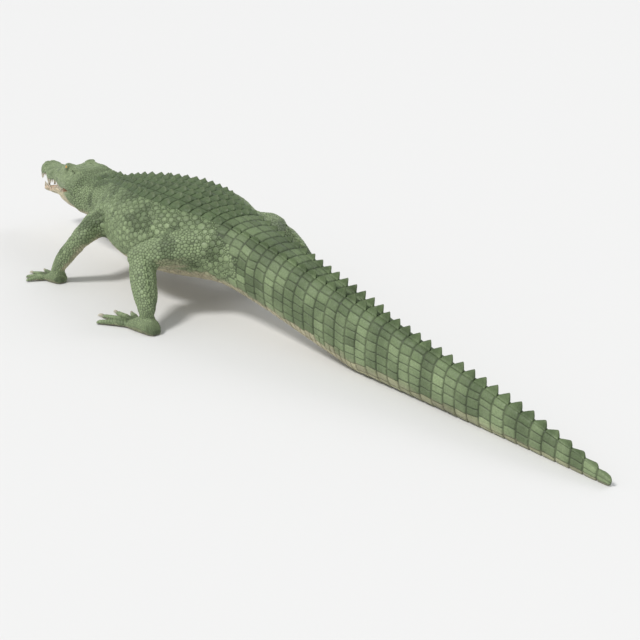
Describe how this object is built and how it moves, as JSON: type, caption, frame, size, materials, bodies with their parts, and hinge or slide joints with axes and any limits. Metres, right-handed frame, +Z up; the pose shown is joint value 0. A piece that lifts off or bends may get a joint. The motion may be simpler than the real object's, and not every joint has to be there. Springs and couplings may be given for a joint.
{
  "type": "saltwater crocodile",
  "caption": "Saltwater crocodile standing with its jaws a little apart and its tail laid on the floor.",
  "frame": {"origin": "on the floor under the middle of the animal's length, in its plane of symmetry", "axes": "+Y from the head to the tail, +Z up, +X towards the animal's left side"},
  "size_m": [1.3202, 4.4, 0.5821],
  "materials": {
    "hide": "scaly hide, olive green above and cream below, satin",
    "throat_hide": "scaly hide of the lower jaw, cream with olive flecks, satin",
    "eye": "amber with a dark upright slit, wet gloss",
    "horn": "pale horn, satin",
    "tongue": "pale pink, moist"
  },
  "bodies": {
    "root": {"head": "hide", "lower_jaw": "throat_hide", "tongue": "tongue", "neck": "hide", "trunk": "hide", "tail_1": "hide", "tail_2": "hide", "tail_3": "hide", "tail_4": "hide", "eye_left": "eye", "eye_right": "eye", "upper_arm_left": "hide", "forearm_left": "hide", "forefoot_left": "hide", "thigh_left": "hide", "shank_left": "hide", "hindfoot_left": "hide", "foreclaw_left_1": "horn", "foreclaw_left_2": "horn", "foreclaw_left_3": "horn", "hindclaw_left_1": "horn", "hindclaw_left_2": "horn", "hindclaw_left_3": "horn", "upper_arm_right": "hide", "forearm_right": "hide", "forefoot_right": "hide", "thigh_right": "hide", "shank_right": "hide", "hindfoot_right": "hide", "foreclaw_right_1": "horn", "foreclaw_right_2": "horn", "foreclaw_right_3": "horn", "hindclaw_right_1": "horn", "hindclaw_right_2": "horn", "hindclaw_right_3": "horn"}
  },
  "joints": []
}
